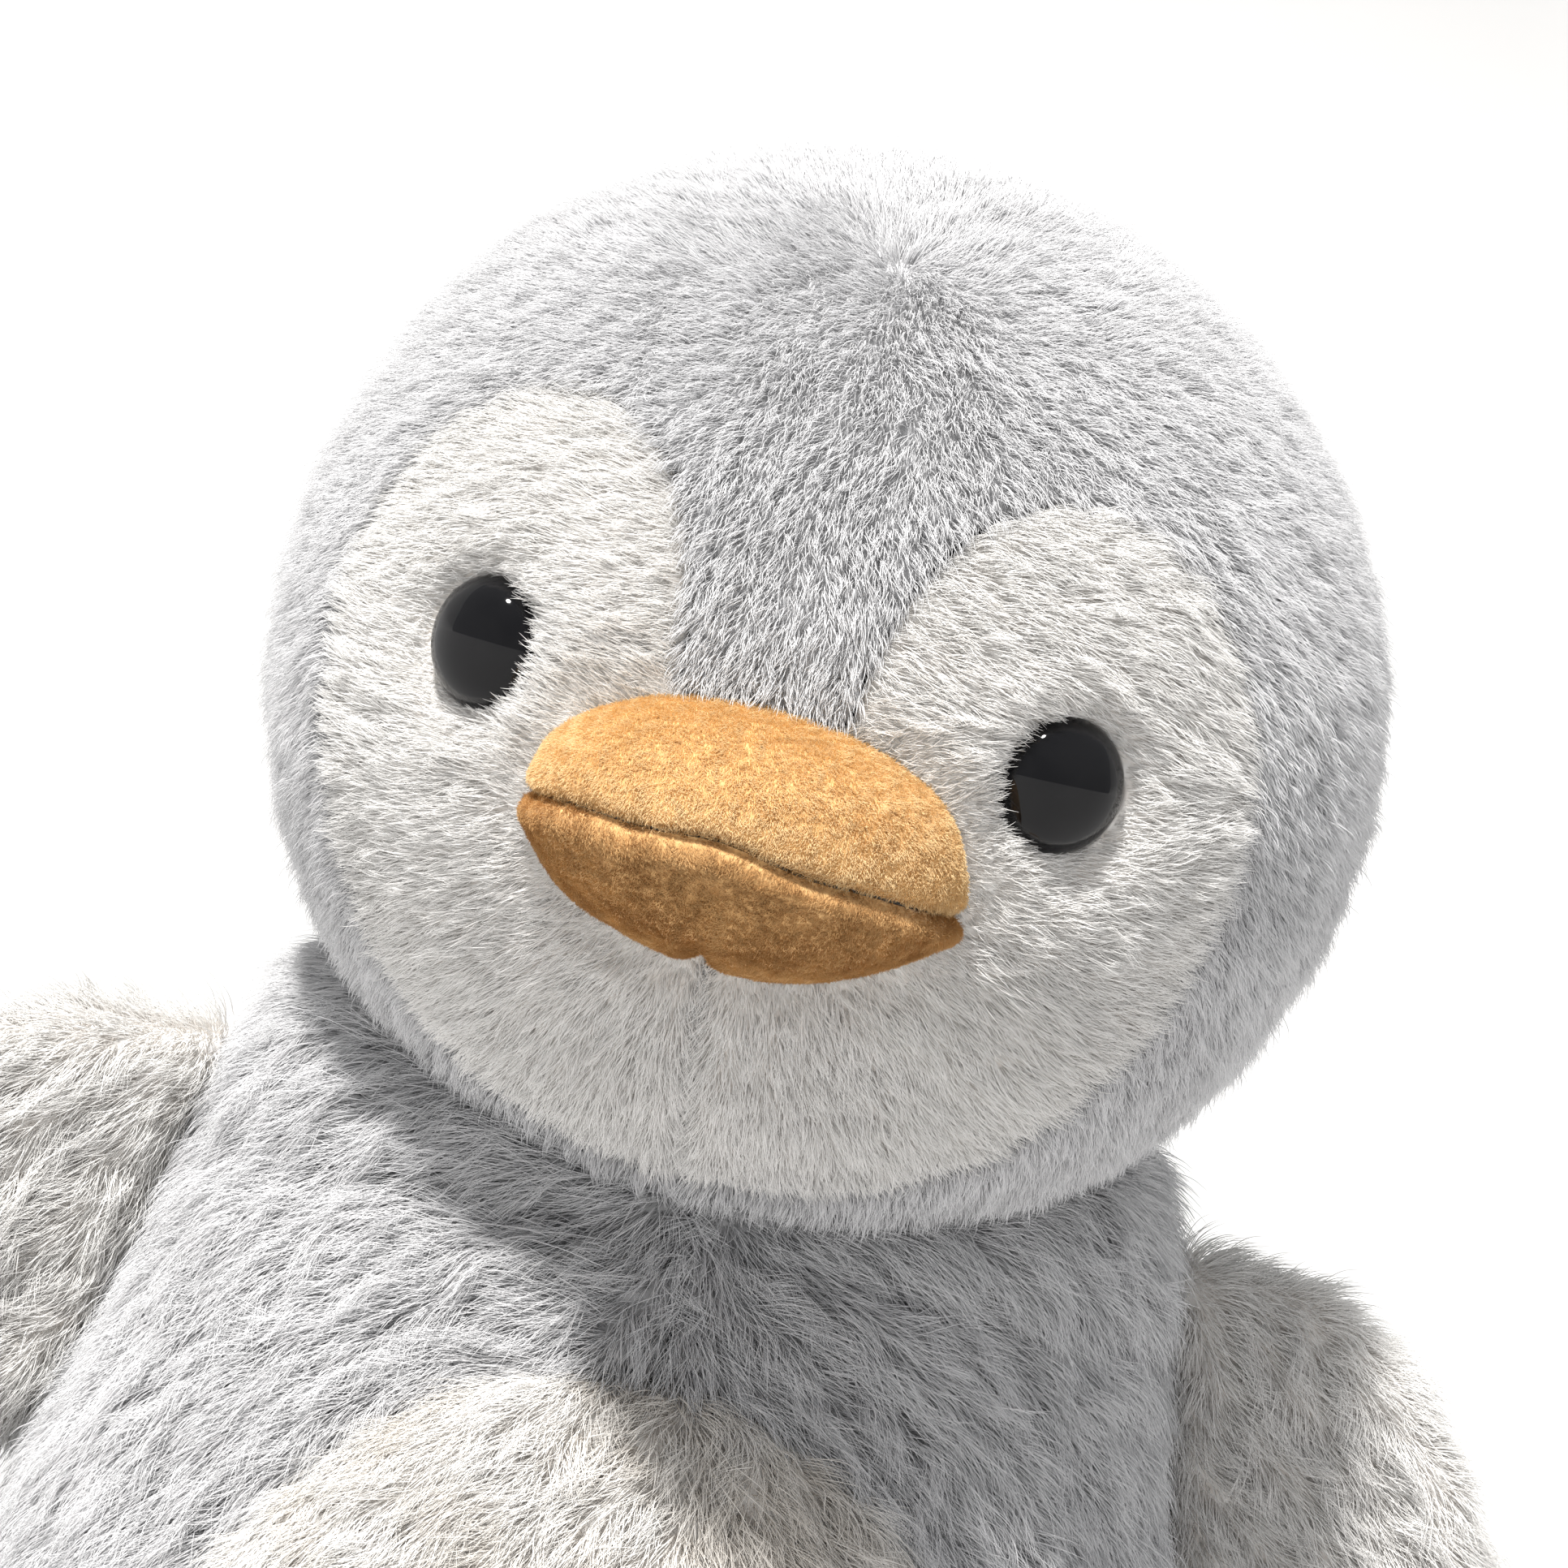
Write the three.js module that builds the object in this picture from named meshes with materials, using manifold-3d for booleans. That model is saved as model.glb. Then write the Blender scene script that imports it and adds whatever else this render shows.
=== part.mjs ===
// Plush penguin, about 271 mm tall, sitting upright on a flat pellet-weighted base.
// Frame: +Z up, the toy faces -Y, its left side is +X, origin at the middle of the flat base.
// Head, torso, wings and feet are fur or velboa skins cut in panels round separate stuffing.
// Units are millimetres.
import * as THREE from "three";
import { mergeVertices } from "three/addons/utils/BufferGeometryUtils.js";
import Module from "manifold-3d";

const wasm = await Module();
wasm.setup();

// ---- Driving dimensions -------------------------------------------------------------------
const GAP = 0.3; // between neighbouring pieces
const CURVE_POINTS = 7; // steps along each curve of a panel's outline
const FAR = 300; // reach of a cutting solid
const SIDES = { right: -1, left: 1 };

const HEAD_RADIUS = 68; // fur skin, outside
const HEAD_FLATTEN = 0.988; // height over width of the head
const HEAD_SKIN = 5; // pile and backing together
const HEAD_CENTRE = new THREE.Vector3(1, -14, 204);
const HEAD_TURN = THREE.MathUtils.degToRad(-7.5); // at rest the head looks to the toy's right
const GUSSET_HALF = 22; // half-width of the strip over the crown
const NECK_OPENING = 24; // radius left open in the head skin

const EYE_DIAMETER = 16;
const EYE_ANGLE = THREE.MathUtils.degToRad(31.5); // each side of the nose line
const EYE_HEIGHT = -1; // above the head's centre
const EYE_DOME = 6; // height of the glossy dome
const EYE_SEAT = 64; // distance of the dome's back from the head's centre
const SHANK_DIAMETER = 5;
const SHANK_LENGTH = 12;
const WASHER_DIAMETER = 14;
const WASHER_THICKNESS = 2;
const WASHER_TOP = HEAD_RADIUS - HEAD_SKIN - 2.4; // distance of its face from the head's centre

// From the head's centre; the beak is sewn a little off the middle.
const BEAK_CENTRE = new THREE.Vector3(1.4, -62, -14.8);
const BEAK_HALF = new THREE.Vector3(25.8, 26, 15.4);
const BEAK_SKIN = 1.6;
const MOUTH_HEIGHT = -15.5;

const TORSO_SKIN = 6;
const DEPTH_LOW = 0.93; // depth over width below the chest
const DEPTH_NECK = 0.7; // depth over width at the neckline
const CHEST_START = 90;
const NECKLINE = 150;
const BASE_HALF = 52; // flat base disc, half-width
const BASE_PANEL_HALF = 49;
const TORSO_TOP = 158;
const SIDE_SEAM_Y = 10; // plane of the seams between chest and back

const NECK_RADIUS = 22;
const NECK_FOOT = 122; // bottom of the stuffing plug in the neck
const POCKET_RADIUS = 24.8;

const THREAD_HEIGHT = 136;
const THREAD_RADIUS = 0.7;
const PELLET_BAG_HALF = new THREE.Vector3(32, 30, 10);
const PELLET_BAG_HEIGHT = 17;
const FILL_HOLE = 20; // radius of the opening under the pellet bag

const PAD_SKIN = 3; // skin of wings and tail
const WING_THICKNESS = 14;
const WING_AXIS_TOP = new THREE.Vector3(68.6, 0, 142);
const WING_AXIS_FOOT = new THREE.Vector3(79.4, 0, 98);
const FOOT_THICKNESS = 13;
const FOOT_SKIN = 1.6;
const FOOT_TURN = THREE.MathUtils.degToRad(20); // toes outwards
const FOOT_HINGE = new THREE.Vector3(31, -65, FOOT_THICKNESS / 2); // middle of the left heel
const TAIL_THICKNESS = 12;
const TAIL_ROOT = new THREE.Vector3(0, 78, 38);
const TAIL_LIFT = THREE.MathUtils.degToRad(25);
const LABEL_SIZE = new THREE.Vector3(14, 0.6, 11);
const LABEL_CENTRE = new THREE.Vector3(-80.5, SIDE_SEAM_Y, 24);

// ---- Materials ----------------------------------------------------------------------------
const paint = (colour, roughness) => new THREE.MeshStandardMaterial({ color: colour, roughness, metalness: 0 });
const greyFur = () => paint(0xc9cbd0, 0.95);
const creamFur = () => paint(0xefe9e0, 0.95);
const velboa = () => paint(0xe0a45a, 0.9);
const eyePlastic = () => paint(0x08080a, 0.08);
const stuffingWhite = () => paint(0xf6f6f4, 1);
const washerWhite = () => paint(0xe6e6e2, 0.5);
const bagCloth = () => paint(0xd9d2c4, 0.95);
const threadGrey = () => paint(0xb9bbc0, 0.8);
const satinLabel = () => paint(0xf2f2f0, 0.45);

// ---- Solid helpers ------------------------------------------------------------------------
// A closed three.js geometry as a solid that can be joined and cut.
function solid(geometry) {
  const bare = geometry.clone();
  bare.deleteAttribute("normal");
  bare.deleteAttribute("uv");
  const merged = mergeVertices(bare, 1e-4);
  return new wasm.Manifold(
    new wasm.Mesh({
      numProp: 3,
      vertProperties: new Float32Array(merged.attributes.position.array),
      triVerts: new Uint32Array(merged.index.array),
    }),
  );
}

// A solid back as a three.js geometry.
function geometryOf(cut) {
  const mesh = cut.getMesh();
  const geometry = new THREE.BufferGeometry();
  geometry.setAttribute("position", new THREE.BufferAttribute(new Float32Array(mesh.vertProperties), 3));
  geometry.setIndex(new THREE.BufferAttribute(new Uint32Array(mesh.triVerts), 1));
  geometry.computeVertexNormals();
  return geometry;
}

function block(xMin, xMax, yMin, yMax, zMin, zMax) {
  const box = new THREE.BoxGeometry(xMax - xMin, yMax - yMin, zMax - zMin);
  return solid(box.translate((xMin + xMax) / 2, (yMin + yMax) / 2, (zMin + zMax) / 2));
}

// Everything on the toy's left (side 1) or right (side -1) of its middle seam.
function halfSpace(side) {
  const [near, far] = [side * (GAP / 2), side * FAR];
  return block(Math.min(near, far), Math.max(near, far), -FAR, FAR, -FAR, FAR);
}

function ball(radius, columns, rows, centre = new THREE.Vector3(), flatten = 1) {
  const sphere = new THREE.SphereGeometry(radius, columns, rows).rotateX(Math.PI / 2);
  return solid(sphere.scale(1, 1, flatten).translate(centre.x, centre.y, centre.z));
}

function upright(radius, zMin, zMax, sides, depth = 1) {
  const cylinder = new THREE.CylinderGeometry(radius, radius, zMax - zMin, sides).rotateX(Math.PI / 2);
  return solid(cylinder.scale(1, depth, 1).translate(0, 0, (zMin + zMax) / 2));
}

// The outline in x and z, grown by a margin and pushed through the toy from front to middle.
function frontPrism(outline, margin, yFront, yBack) {
  const points = outline.getPoints(CURVE_POINTS);
  if (points[0].distanceTo(points[points.length - 1]) < 1e-6) points.pop();
  const turning = THREE.ShapeUtils.isClockWise(points) ? -1 : 1;
  const grown = points.map((point, i) => {
    const before = points[(i + points.length - 1) % points.length];
    const after = points[(i + 1) % points.length];
    const along = after.clone().sub(before).normalize();
    return new THREE.Vector2(point.x + turning * margin * along.y, point.y - turning * margin * along.x);
  });
  const prism = new THREE.ExtrudeGeometry(new THREE.Shape(grown), { depth: yBack - yFront, bevelEnabled: false });
  return solid(prism.rotateX(Math.PI / 2).translate(0, yBack, 0));
}

// The largest body of a cut, without the slivers that faceted surfaces leave where they cross.
function mainBody(cut) {
  return cut.decompose().sort((a, b) => b.volume() - a.volume())[0];
}

function piece(name, geometryOrSolid, material, group) {
  const geometry = geometryOrSolid.isBufferGeometry ? geometryOrSolid : geometryOf(geometryOrSolid);
  const mesh = new THREE.Mesh(geometry, material);
  mesh.name = name;
  group.add(mesh);
}

// ---- Head, built round its own centre and facing -Y ----------------------------------------
function faceOutline() {
  const outline = new THREE.Shape();
  outline.moveTo(0, -4);
  outline.lineTo(10, 0);
  outline.bezierCurveTo(10, 14, 17, 29.8, 29, 29.8);
  outline.bezierCurveTo(42, 29.8, 53.7, 15, 53.7, -1);
  outline.bezierCurveTo(53.7, -37, 30, -57.2, 0, -57.2);
  outline.bezierCurveTo(-30, -57.2, -53.7, -37, -53.7, -1);
  outline.bezierCurveTo(-53.7, 15, -42, 29.8, -29, 29.8);
  outline.bezierCurveTo(-17, 29.8, -10, 14, -10, 0);
  outline.lineTo(0, -4);
  return outline;
}

// Turns and moves a solid made along +Z so that it points out of the head through an eye.
function throughEye(cut, side) {
  const geometry = geometryOf(cut);
  const out = new THREE.Vector3(side * Math.sin(EYE_ANGLE), -Math.cos(EYE_ANGLE), EYE_HEIGHT / HEAD_RADIUS);
  const turn = new THREE.Quaternion().setFromUnitVectors(new THREE.Vector3(0, 0, 1), out.normalize());
  return solid(geometry.applyQuaternion(turn));
}

function eyeSolid() {
  const half = EYE_DIAMETER / 2;
  const profile = [new THREE.Vector2(0, EYE_SEAT - SHANK_LENGTH)];
  profile.push(new THREE.Vector2(SHANK_DIAMETER / 2, EYE_SEAT - SHANK_LENGTH + 1));
  profile.push(new THREE.Vector2(SHANK_DIAMETER / 2, EYE_SEAT));
  profile.push(new THREE.Vector2(half - 0.6, EYE_SEAT));
  for (let i = 0; i <= 6; i++) {
    const angle = (i / 6) * (Math.PI / 2);
    const radius = i === 6 ? 0 : half * Math.cos(angle);
    profile.push(new THREE.Vector2(radius, EYE_SEAT + 0.8 + (EYE_DOME - 0.8) * Math.sin(angle)));
  }
  return solid(new THREE.LatheGeometry(profile, 24).rotateX(Math.PI / 2));
}

function washerSolid() {
  const inner = SHANK_DIAMETER / 2 + GAP;
  const outer = WASHER_DIAMETER / 2;
  const top = WASHER_TOP;
  const ring = [
    new THREE.Vector2(inner, top - WASHER_THICKNESS),
    new THREE.Vector2(outer, top - WASHER_THICKNESS),
    new THREE.Vector2(outer, top),
    new THREE.Vector2(inner, top),
    new THREE.Vector2(inner, top - WASHER_THICKNESS),
  ];
  return solid(new THREE.LatheGeometry(ring, 20).rotateX(Math.PI / 2));
}

function buildHead() {
  const head = new THREE.Group();
  head.position.copy(HEAD_CENTRE);
  head.rotation.z = HEAD_TURN;

  const inside = HEAD_RADIUS - HEAD_SKIN;
  const outer = ball(HEAD_RADIUS, 36, 24, undefined, HEAD_FLATTEN);
  let skin = outer.subtract(ball(inside, 20, 12, undefined, HEAD_FLATTEN));
  skin = skin.subtract(upright(NECK_OPENING, -FAR, 0, 24));
  const seat = upright(EYE_DIAMETER / 2 + GAP, EYE_SEAT - GAP, FAR, 20);
  const shankHole = upright(SHANK_DIAMETER / 2 + GAP, inside - 15, FAR, 12);
  const washerRoom = upright(WASHER_DIAMETER / 2 + GAP, WASHER_TOP - WASHER_THICKNESS - GAP, inside + 1, 16);

  let facePanel = skin.intersect(frontPrism(faceOutline(), 0, -FAR, 0));
  for (const side of Object.values(SIDES)) {
    facePanel = facePanel.subtract(throughEye(seat.add(shankHole), side));
  }
  const hood = skin.subtract(frontPrism(faceOutline(), GAP, -FAR, 0));
  const crown = block(-GUSSET_HALF, GUSSET_HALF, -FAR, FAR, -6, FAR);
  const nape = block(-GUSSET_HALF, GUSSET_HALF, 0, FAR, -FAR, 0);
  const crownRoom = block(-GUSSET_HALF - GAP, GUSSET_HALF + GAP, -FAR, FAR, -6 - GAP, FAR);
  const napeRoom = block(-GUSSET_HALF - GAP, GUSSET_HALF + GAP, -GAP, FAR, -FAR, 0);
  piece("head_gusset", hood.intersect(crown.add(nape)), greyFur(), head);
  const cheeks = hood.subtract(crownRoom.add(napeRoom));
  for (const [name, side] of Object.entries(SIDES)) {
    const half = halfSpace(side);
    piece("head_side_" + name, cheeks.intersect(half), greyFur(), head);
    piece("face_" + name, facePanel.intersect(half), creamFur(), head);
    piece("eye_" + name, throughEye(eyeSolid(), side), eyePlastic(), head);
    piece("eye_washer_" + name, throughEye(washerSolid(), side), washerWhite(), head);
  }

  let stuffing = ball(inside - 1.6, 20, 12, undefined, HEAD_FLATTEN);
  for (const side of Object.values(SIDES)) {
    stuffing = stuffing.subtract(throughEye(washerRoom.add(shankHole), side));
  }
  piece("head_stuffing", stuffing, stuffingWhite(), head);

  const clearHead = ball(HEAD_RADIUS + GAP, 36, 24, undefined, HEAD_FLATTEN);
  const egg = (inset) => {
    const half = BEAK_HALF.clone().subScalar(inset);
    const sphere = new THREE.SphereGeometry(1, 20, 12).rotateX(Math.PI / 2).scale(half.x, half.y, half.z);
    return solid(sphere.translate(BEAK_CENTRE.x, BEAK_CENTRE.y, BEAK_CENTRE.z));
  };
  const beakSkin = egg(0).subtract(egg(BEAK_SKIN)).subtract(clearHead);
  const above = block(-FAR, FAR, -FAR, FAR, MOUTH_HEIGHT + GAP / 2, FAR);
  const below = block(-FAR, FAR, -FAR, FAR, -FAR, MOUTH_HEIGHT - GAP / 2);
  piece("beak_upper", mainBody(beakSkin.intersect(above)), velboa(), head);
  piece("beak_lower", mainBody(beakSkin.intersect(below)), velboa(), head);
  piece("beak_stuffing", egg(BEAK_SKIN + GAP).subtract(clearHead), stuffingWhite(), head);
  return head;
}

// ---- Torso --------------------------------------------------------------------------------
// Half-width of the torso from the base rim to the shoulder, as points in radius and height.
const TORSO_PROFILE = [
  [58, 2.5],
  [68, 12],
  [74.5, 30],
  [77, 50],
  [75, 74],
  [71, 94],
  [67, 112],
  [63.2, 131],
  [61, 142],
  [57, 151],
  [50, 157],
];

const depthAt = (z) => {
  const share = THREE.MathUtils.smoothstep(z, CHEST_START, NECKLINE);
  return THREE.MathUtils.lerp(DEPTH_LOW, DEPTH_NECK, share);
};

// The pear-shaped torso, shrunk by an inset, with its depth narrowing towards the neck.
function torsoSolid(inset, columns) {
  const curve = new THREE.SplineCurve(TORSO_PROFILE.map(([r, z]) => new THREE.Vector2(r, z)));
  const profile = [new THREE.Vector2(0, inset), new THREE.Vector2(BASE_HALF - inset * 0.8, inset)];
  const steps = 11;
  for (let i = 0; i <= steps; i++) {
    const at = curve.getPoint(i / steps);
    const along = curve.getTangent(i / steps);
    const moved = new THREE.Vector2(at.x - inset * along.y, at.y + inset * along.x);
    if (moved.y > inset + 0.5) profile.push(moved);
  }
  profile.push(new THREE.Vector2(0, TORSO_TOP - inset));
  const lathe = new THREE.LatheGeometry(profile, columns).rotateX(Math.PI / 2);
  const places = lathe.attributes.position;
  for (let i = 0; i < places.count; i++) {
    places.setY(i, places.getY(i) * depthAt(places.getZ(i)));
  }
  return solid(lathe);
}

function bellyOutline() {
  const outline = new THREE.Shape();
  outline.moveTo(0, 121);
  outline.bezierCurveTo(24, 121, 48, 101, 48, 70);
  outline.bezierCurveTo(48, 37, 29, 14, 0, 14);
  outline.bezierCurveTo(-29, 14, -48, 37, -48, 70);
  outline.bezierCurveTo(-48, 101, -24, 121, 0, 121);
  return outline;
}

function pelletBag(margin) {
  const shape = new THREE.SphereGeometry(1, 16, 8).rotateX(Math.PI / 2);
  const half = PELLET_BAG_HALF.clone().addScalar(margin);
  return solid(shape.scale(half.x, half.y, half.z).translate(0, 0, PELLET_BAG_HEIGHT));
}

function buildTorso() {
  const torso = new THREE.Group();
  const dish = ball(HEAD_RADIUS + 2 * GAP, 36, 24, HEAD_CENTRE, HEAD_FLATTEN);
  const skin = torsoSolid(0, 32).subtract(torsoSolid(TORSO_SKIN, 20)).subtract(dish);
  const basePanel = upright(BASE_PANEL_HALF, -1, TORSO_SKIN + 1, 32, DEPTH_LOW);
  const basePanelRoom = upright(BASE_PANEL_HALF + GAP, -1, TORSO_SKIN + 1, 32, DEPTH_LOW);
  const belly = frontPrism(bellyOutline(), 0, -FAR, 0);
  const bellyRoom = frontPrism(bellyOutline(), GAP, -FAR, 0);
  const front = block(-FAR, FAR, -FAR, SIDE_SEAM_Y - GAP / 2, -FAR, FAR);
  const rear = block(-FAR, FAR, SIDE_SEAM_Y + GAP / 2, FAR, -FAR, FAR);
  const rest = skin.subtract(basePanelRoom);
  const chest = rest.intersect(front).subtract(bellyRoom);
  const back = rest.intersect(rear);
  for (const [name, side] of Object.entries(SIDES)) {
    piece("chest_" + name, chest.intersect(halfSpace(side)), greyFur(), torso);
    piece("back_" + name, back.intersect(halfSpace(side)), greyFur(), torso);
  }
  piece("belly_patch", rest.intersect(belly), creamFur(), torso);
  piece("base_panel", skin.intersect(basePanel), greyFur(), torso);

  const atNeck = (cut) => cut.translate([HEAD_CENTRE.x, HEAD_CENTRE.y, 0]);
  const stuffing = torsoSolid(TORSO_SKIN + 5 * GAP, 20)
    .subtract(ball(HEAD_RADIUS + 4 * GAP, 24, 16, HEAD_CENTRE, HEAD_FLATTEN))
    .subtract(atNeck(upright(POCKET_RADIUS, NECK_FOOT - GAP, FAR, 24)))
    .subtract(pelletBag(2 * GAP))
    .subtract(upright(FILL_HOLE, 0, PELLET_BAG_HEIGHT, 24));
  piece("torso_stuffing", stuffing, stuffingWhite(), torso);
  piece("pellet_bag", pelletBag(0), bagCloth(), torso);
  return torso;
}

// ---- Neck plug, turning with the head ------------------------------------------------------
function buildNeck() {
  const neck = new THREE.Group();
  const plug = upright(NECK_RADIUS, NECK_FOOT, HEAD_CENTRE.z, 24);
  const placed = plug.translate([HEAD_CENTRE.x, HEAD_CENTRE.y, 0]);
  const clear = ball(HEAD_RADIUS + 4 * GAP, 24, 16, HEAD_CENTRE, HEAD_FLATTEN);
  piece("neck_stuffing", placed.subtract(clear), stuffingWhite(), neck);
  const thread = new THREE.TorusGeometry((NECK_RADIUS + POCKET_RADIUS) / 2, THREAD_RADIUS, 6, 24);
  thread.translate(HEAD_CENTRE.x, HEAD_CENTRE.y, THREAD_HEIGHT);
  piece("neck_stitch_thread", thread, threadGrey(), neck);
  return neck;
}

// ---- Flat stuffed parts: wings, feet and tail ----------------------------------------------
// The outline as a pillow, its middle plane at z = 0, its rim rounded to half the thickness.
function pillow(outline, thickness, inset) {
  const half = thickness / 2 - inset;
  const options = { depth: 1, bevelEnabled: true, bevelThickness: half - 0.5, bevelSize: half };
  Object.assign(options, { bevelSegments: 3, curveSegments: 4 });
  return solid(new THREE.ExtrudeGeometry(outline, options).translate(0, 0, -0.5));
}

function stuffedPad(names, outline, thickness, skinThickness, material, group) {
  const skin = pillow(outline, thickness, 0).subtract(pillow(outline, thickness, skinThickness));
  piece(names[0], skin.intersect(block(-FAR, FAR, -FAR, FAR, GAP / 2, FAR)), material(), group);
  piece(names[1], skin.intersect(block(-FAR, FAR, -FAR, FAR, -FAR, -GAP / 2)), material(), group);
  piece(names[2], pillow(outline, thickness, skinThickness + GAP), stuffingWhite(), group);
}

// Core of the wing, in x and z, which the pillow grows by half the thickness all round.
function wingOutline(side) {
  const outline = new THREE.Shape();
  outline.moveTo(side * (WING_AXIS_TOP.x + 1), -WING_AXIS_TOP.z + 5);
  outline.bezierCurveTo(side * 84, -138, side * 99, -128, side * 105, -107);
  outline.bezierCurveTo(side * 109, -89, side * 99, -79, side * 90, -84);
  outline.lineTo(side * WING_AXIS_FOOT.x, -WING_AXIS_FOOT.z);
  outline.lineTo(side * (WING_AXIS_TOP.x + 1), -WING_AXIS_TOP.z + 5);
  return outline;
}

function buildWing(name, side) {
  const wing = new THREE.Group();
  wing.rotation.x = -Math.PI / 2; // the outline's -y becomes up, and its +z becomes +Y, the back
  const names = ["wing_" + name + "_back", "wing_" + name + "_front", "wing_" + name + "_stuffing"];
  stuffedPad(names, wingOutline(side), WING_THICKNESS, PAD_SKIN, creamFur, wing);
  return wing;
}

// Core of the foot seen from above, its heel on the hinge line and its three toes forwards.
function footOutline() {
  const outline = new THREE.Shape();
  outline.moveTo(-11, 0);
  outline.bezierCurveTo(-15, -8, -19, -18, -18, -25);
  outline.bezierCurveTo(-16, -31, -9, -31, -6, -28);
  outline.bezierCurveTo(-4, -35, 4, -35, 6, -28);
  outline.bezierCurveTo(9, -31, 16, -31, 18, -25);
  outline.bezierCurveTo(19, -18, 15, -8, 11, 0);
  outline.lineTo(-11, 0);
  return outline;
}

function buildFoot(name, side) {
  const foot = new THREE.Group();
  foot.position.set(side * FOOT_HINGE.x, FOOT_HINGE.y, FOOT_HINGE.z);
  foot.rotation.z = side * FOOT_TURN;
  const names = ["foot_" + name + "_top", "foot_" + name + "_sole", "foot_" + name + "_stuffing"];
  stuffedPad(names, footOutline(), FOOT_THICKNESS, FOOT_SKIN, velboa, foot);
  return foot;
}

function tailOutline() {
  const outline = new THREE.Shape();
  outline.moveTo(-10, 0);
  outline.lineTo(10, 0);
  outline.quadraticCurveTo(8, 12, 0, 15);
  outline.quadraticCurveTo(-8, 12, -10, 0);
  return outline;
}

function buildTail() {
  const tail = new THREE.Group();
  tail.position.copy(TAIL_ROOT);
  tail.rotation.x = TAIL_LIFT;
  const names = ["tail_top", "tail_bottom", "tail_stuffing"];
  stuffedPad(names, tailOutline(), TAIL_THICKNESS, PAD_SKIN, greyFur, tail);
  return tail;
}

// A blank satin tag on the right side seam, just above the base.
function buildLabel() {
  const label = new THREE.Group();
  const tag = new THREE.BoxGeometry(LABEL_SIZE.x, LABEL_SIZE.y, LABEL_SIZE.z);
  piece("care_label", tag, satinLabel(), label);
  label.position.copy(LABEL_CENTRE);
  return label;
}

// ---- Assembly -----------------------------------------------------------------------------
const penguin = new THREE.Group();
penguin.add(buildHead(), buildNeck(), buildTorso(), buildTail(), buildLabel());
for (const [name, side] of Object.entries(SIDES)) {
  penguin.add(buildWing(name, side), buildFoot(name, side));
}

export default penguin;
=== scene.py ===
"""Plush penguin: fur skins, velboa beak and feet, glossy eyes, a pale sweep and studio light."""

import math

import bpy
import numpy as np
from mathutils import Matrix, Vector
from mathutils.bvhtree import BVHTree


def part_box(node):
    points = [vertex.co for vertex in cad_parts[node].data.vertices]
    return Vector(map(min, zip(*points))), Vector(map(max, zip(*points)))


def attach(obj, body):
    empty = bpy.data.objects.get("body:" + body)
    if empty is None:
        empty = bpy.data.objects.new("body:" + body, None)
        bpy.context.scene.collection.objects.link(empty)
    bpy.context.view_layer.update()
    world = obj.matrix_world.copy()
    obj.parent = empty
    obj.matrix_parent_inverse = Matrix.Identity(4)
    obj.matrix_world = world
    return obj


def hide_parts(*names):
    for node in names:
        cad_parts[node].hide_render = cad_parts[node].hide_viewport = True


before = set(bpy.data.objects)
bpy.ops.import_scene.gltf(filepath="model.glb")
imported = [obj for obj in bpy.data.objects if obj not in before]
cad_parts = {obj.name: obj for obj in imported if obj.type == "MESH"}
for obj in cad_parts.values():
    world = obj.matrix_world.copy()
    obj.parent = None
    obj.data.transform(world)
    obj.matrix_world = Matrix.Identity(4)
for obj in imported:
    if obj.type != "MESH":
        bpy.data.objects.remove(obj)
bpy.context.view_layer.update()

MM = 0.001
SMALL_VOXEL = 0.25 * MM  # for the smallest pieces
SEED = 20
DENSITY = 1.0  # share of the strands that are grown
COARSER = 1.0  # how much larger the voxels of the skins are


# ---- Places and sizes, as the CAD has them -----------------------------------------------------
def middle(node):
    low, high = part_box(node)
    return (np.array(low) + np.array(high)) / 2


HEAD = middle("head_stuffing")
HEAD_TURN = math.radians(-7.5)
HEAD_RADIUS = 68 * MM
EYE_ANGLE = math.radians(31.5)
EYE_HEIGHT = -1 * MM
EYE_RADIUS = 8 * MM
BEAK_CENTRE = np.array([1.4, -62, -14.8]) * MM
BEAK_HALF = np.array([25.8, 26, 15.4]) * MM
MOUTH_HEIGHT = -15.5 * MM
FOOT_TURN = math.radians(20)
FOOT_HINGE = np.array([31, -65, 6.5]) * MM
BELLY_CENTRE = np.array([0, 67.5]) * MM  # in x and z
BELLY_HALF = np.array([48, 53.5]) * MM
GUSSET_HALF = 22 * MM
SIDE_SEAM_Y = 10 * MM


def turned(points, angle):
    """Points turned about the vertical through the origin."""
    c, s = math.cos(angle), math.sin(angle)
    x, y, z = points.T
    return np.stack([c * x - s * y, c * y + s * x, z], 1)


def to_head(points):
    """Directions, or points from the head's centre, in the turned head's own frame."""
    return turned(points, -HEAD_TURN)


def from_head(points):
    return turned(points, HEAD_TURN)


def eye_axis(side):
    """The way an eye looks, in the head's own frame; side is 1 for the toy's left."""
    out = np.array([side * math.sin(EYE_ANGLE), -math.cos(EYE_ANGLE), EYE_HEIGHT / HEAD_RADIUS])
    return out / np.linalg.norm(out)


def off_axis(points, axis):
    """Distance of each point from a line through the head's centre."""
    return np.linalg.norm(points - np.outer(points @ axis, axis), axis=1)


# ---- Camera ---------------------------------------------------------------------------------
CAMERA_AZIMUTH = math.radians(-1.5)
CAMERA_ELEVATION = math.radians(3.5)
CAMERA_ROLL = math.radians(13.7)
CAMERA_DISTANCE = 0.620  # from the head's centre
CAMERA_LENS = 112.9
HEAD_RIGHT_OF_AIM = 0.0026
HEAD_ABOVE_AIM = 0.0119


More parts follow.
